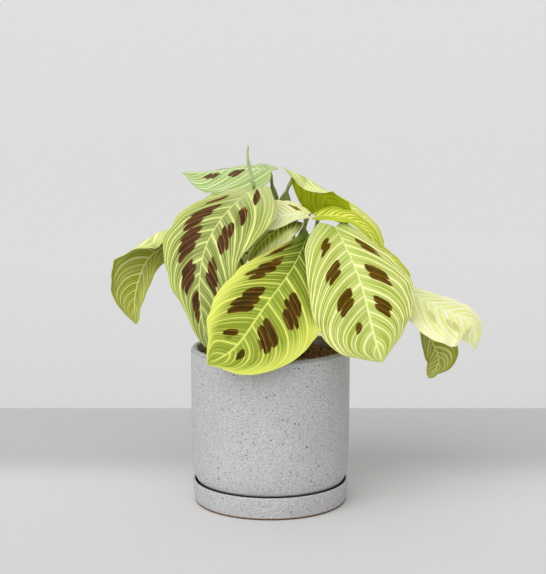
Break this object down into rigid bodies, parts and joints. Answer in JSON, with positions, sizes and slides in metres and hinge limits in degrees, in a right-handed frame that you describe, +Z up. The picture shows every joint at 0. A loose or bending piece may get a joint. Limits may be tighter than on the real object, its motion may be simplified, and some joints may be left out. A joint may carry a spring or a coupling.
{
  "type": "potted prayer plant maranta",
  "caption": "Prayer plant with broad patterned leaves arching on slender stems over a straight stoneware pot that stands in a matching saucer.",
  "frame": {"origin": "centre of the saucer's flat underside, on the surface it stands on", "axes": "+Z up along the pot's axis, -Y towards the plant's front, +X to the right as seen from the front, along the leaves' widest spread"},
  "size_m": [0.2766, 0.1793, 0.2696],
  "materials": {
    "speckled_stoneware": "matte",
    "potting_mix": "matte",
    "leaf_green": "satin",
    "petiole_green": "satin",
    "young_leaf_green": "satin"
  },
  "bodies": {
    "root": {"saucer": "speckled_stoneware", "pot": "speckled_stoneware", "soil": "potting_mix", "blade_front_left": "leaf_green", "petiole_front_left": "petiole_green", "blade_front_right": "leaf_green", "petiole_front_right": "petiole_green", "blade_left": "leaf_green", "petiole_left": "petiole_green", "blade_top_left": "leaf_green", "petiole_top_left": "petiole_green", "blade_top_right": "leaf_green", "petiole_top_right": "petiole_green", "blade_right_high": "leaf_green", "petiole_right_high": "petiole_green", "blade_right": "leaf_green", "petiole_right": "petiole_green", "blade_inner_left": "leaf_green", "petiole_inner_left": "petiole_green", "blade_far_left": "leaf_green", "petiole_far_left": "petiole_green", "blade_far_right": "leaf_green", "petiole_far_right": "petiole_green", "blade_far_right_low": "leaf_green", "petiole_far_right_low": "petiole_green", "blade_right_edge": "leaf_green", "petiole_right_edge": "petiole_green", "blade_left_behind": "leaf_green", "petiole_left_behind": "petiole_green", "blade_inner_low": "leaf_green", "petiole_inner_low": "petiole_green", "blade_back_left": "leaf_green", "petiole_back_left": "petiole_green", "blade_back_right": "leaf_green", "petiole_back_right": "petiole_green", "blade_right_behind": "leaf_green", "petiole_right_behind": "petiole_green", "blade_left_low": "leaf_green", "petiole_left_low": "petiole_green", "new_leaf": "young_leaf_green", "petiole_new_leaf": "petiole_green"}
  },
  "joints": []
}
